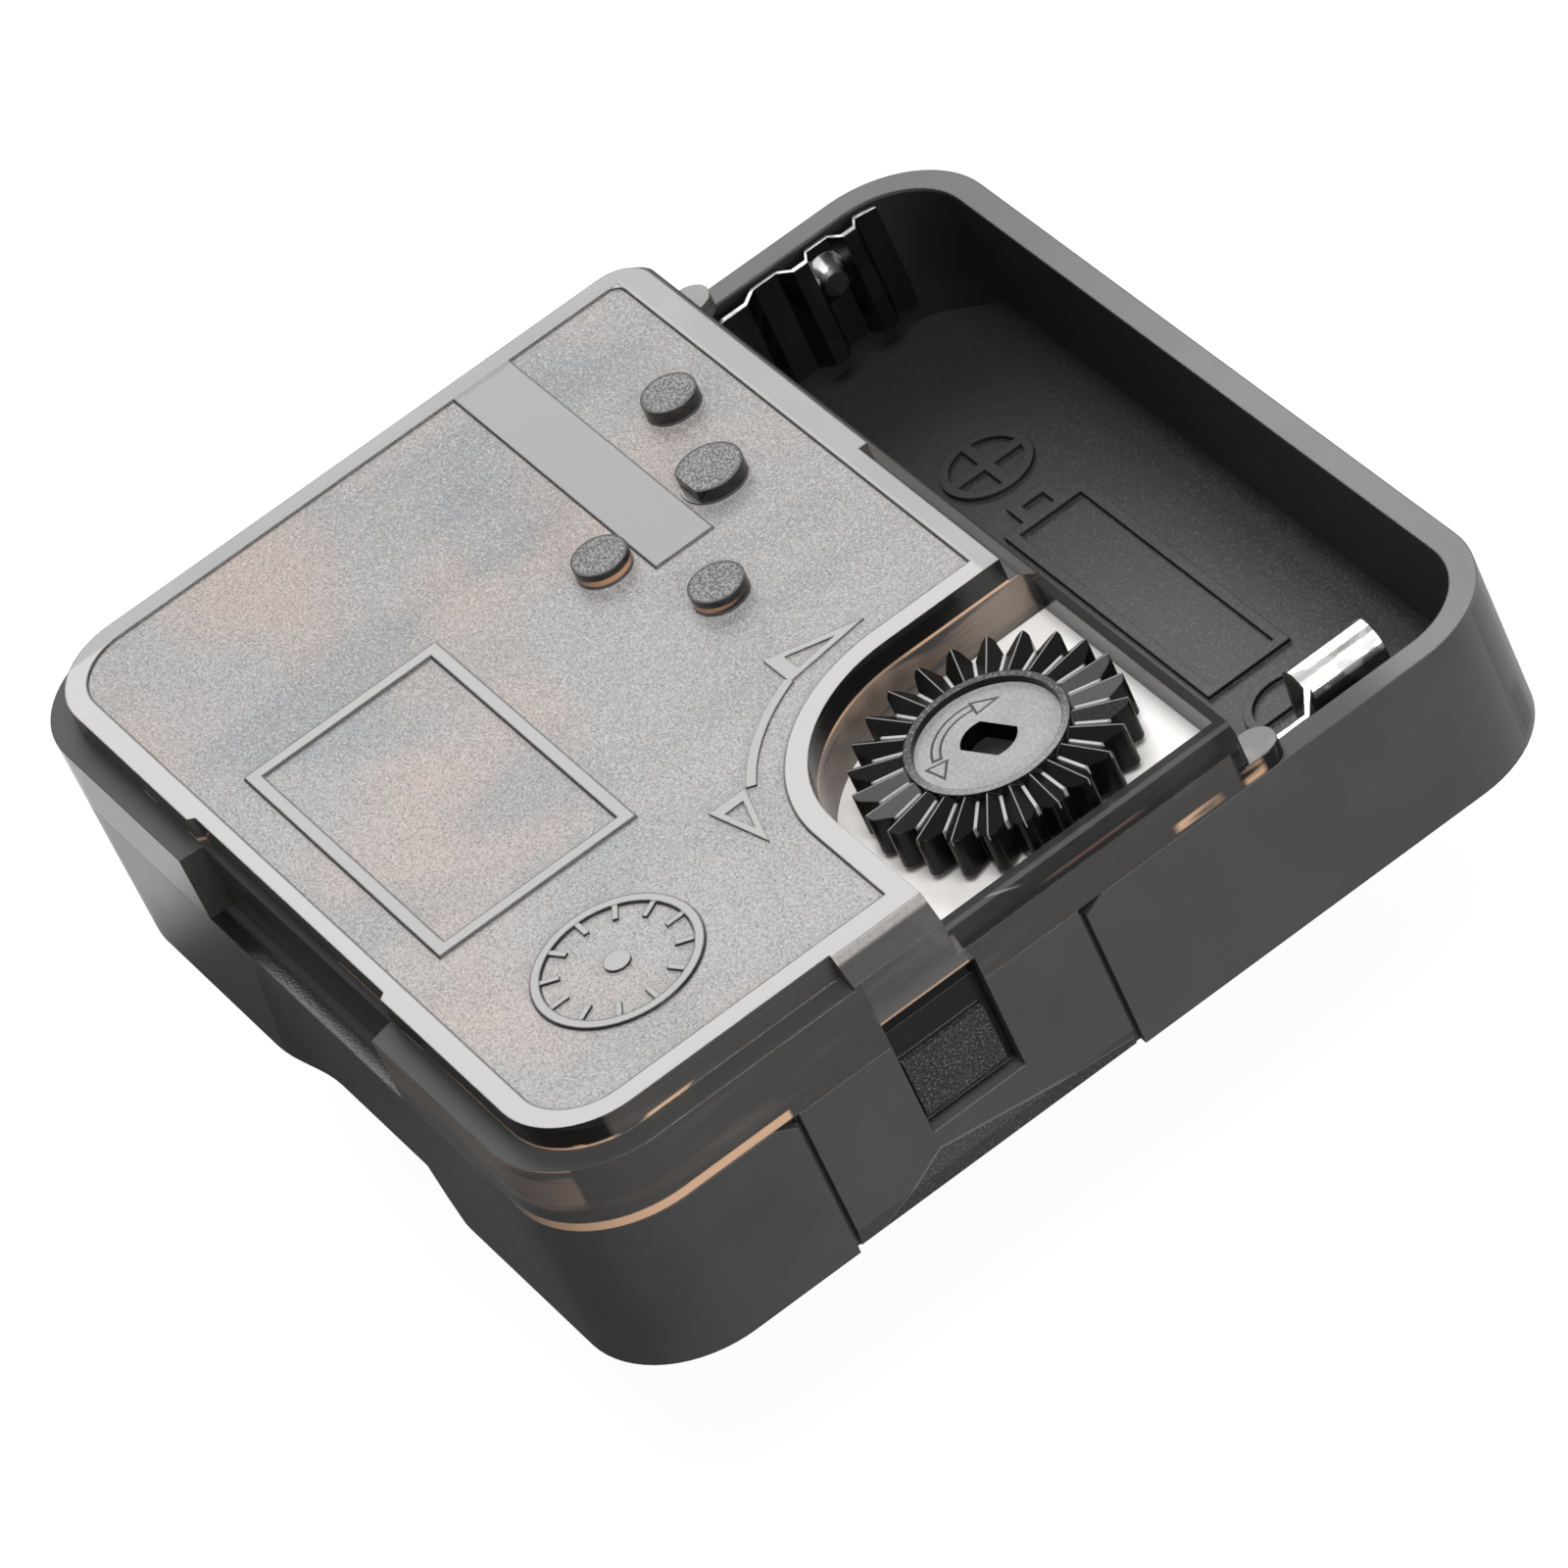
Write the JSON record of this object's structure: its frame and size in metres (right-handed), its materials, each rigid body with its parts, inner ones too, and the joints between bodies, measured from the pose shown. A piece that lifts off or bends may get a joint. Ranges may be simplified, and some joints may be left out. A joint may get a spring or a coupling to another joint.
{
  "type": "quartz clock movement",
  "caption": "Square battery clock movement with an open cell bay, smoked cover, toothed setting knob, gear train and a threaded centre bush with three coaxial hand shafts.",
  "frame": {"origin": "on the hand shaft's axis, at the dial face of the case", "axes": "+Z from the dial face towards the cover, +Y towards the cell bay, +X towards the latch side"},
  "size_m": [0.056, 0.056, 0.0282],
  "materials": {
    "black_plastic": "satin, moulded",
    "smoked_plastic": "translucent smoke, frosted panel",
    "black_gloss": "glossy",
    "white_plastic": "moulded acetal",
    "brass": "turned",
    "steel": "bright",
    "silicon_steel": "stamped sheet",
    "magnet": "sintered",
    "copper": "enamelled wire",
    "green_board": "laminate",
    "black_resin": "resin",
    "tin": "solder",
    "nickel_plate": "nickel plated sheet"
  },
  "bodies": {
    "case": {"front_case": "black_plastic", "rear_cover": "smoked_plastic", "threaded_bush": "brass", "middle_plate": "white_plastic", "stator_left": "silicon_steel", "stator_right": "silicon_steel", "coil_core": "silicon_steel", "coil_bobbin": "black_plastic", "coil_winding": "copper", "coil_terminals": "brass", "core_screws": "steel", "circuit_board": "green_board", "chip_resin": "black_resin", "quartz_crystal": "steel", "solder_joints": "tin", "positive_contact": "nickel_plate", "negative_contact": "nickel_plate"},
    "knob": {"setting_knob": "black_gloss", "setting_arbor": "white_plastic"},
    "motion": {"motion_wheel": "white_plastic"},
    "hour": {"hour_wheel": "white_plastic"},
    "minute": {"minute_shaft": "brass", "clutch_spring": "steel"},
    "centre": {"centre_wheel": "white_plastic"},
    "third": {"third_wheel": "white_plastic"},
    "second": {"second_wheel": "white_plastic", "second_arbor": "steel"},
    "intermediate": {"intermediate_wheel": "white_plastic"},
    "rotor": {"rotor_pinion": "white_plastic", "rotor_magnet": "magnet"}
  },
  "joints": [
    {"name": "rotor_turn", "type": "hinge", "parent": "case", "child": "rotor", "pos_m": [-0.0145, 0.0061, 0.005], "axis": [0, 0, 1], "continuous": true},
    {"name": "intermediate_turn", "type": "hinge", "parent": "case", "child": "intermediate", "pos_m": [-0.00775, 0.0044, 0.009], "axis": [0, 0, 1], "continuous": true},
    {"name": "second_turn", "type": "hinge", "parent": "case", "child": "second", "pos_m": [0, 0, 0.008], "axis": [0, 0, 1], "continuous": true},
    {"name": "third_turn", "type": "hinge", "parent": "case", "child": "third", "pos_m": [-0.00705, -0.0028, 0.007], "axis": [0, 0, 1], "continuous": true},
    {"name": "centre_turn", "type": "hinge", "parent": "case", "child": "centre", "pos_m": [0, 0, 0.0052], "axis": [0, 0, 1], "continuous": true},
    {"name": "knob_turn", "type": "hinge", "parent": "case", "child": "knob", "pos_m": [0.0189, 0.00345, 0.012], "axis": [0, 0, 1], "continuous": true},
    {"name": "motion_turn", "type": "hinge", "parent": "case", "child": "motion", "pos_m": [0.00799, -0.00048, 0.0038], "axis": [0, 0, 1], "continuous": true},
    {"name": "minute_turn", "type": "hinge", "parent": "case", "child": "minute", "pos_m": [0, 0, 0.0038], "axis": [0, 0, 1], "continuous": true},
    {"name": "hour_turn", "type": "hinge", "parent": "case", "child": "hour", "pos_m": [0, 0, 0.0026], "axis": [0, 0, 1], "continuous": true}
  ],
  "couplings": [
    {"joint": "intermediate_turn", "follows": "rotor_turn", "ratio": -0.1},
    {"joint": "second_turn", "follows": "rotor_turn", "ratio": 0.033333},
    {"joint": "third_turn", "follows": "rotor_turn", "ratio": -0.0055556},
    {"joint": "centre_turn", "follows": "rotor_turn", "ratio": 0.00055556},
    {"joint": "motion_turn", "follows": "knob_turn", "ratio": -0.93333},
    {"joint": "minute_turn", "follows": "knob_turn", "ratio": 2.8},
    {"joint": "hour_turn", "follows": "knob_turn", "ratio": 0.23333}
  ]
}
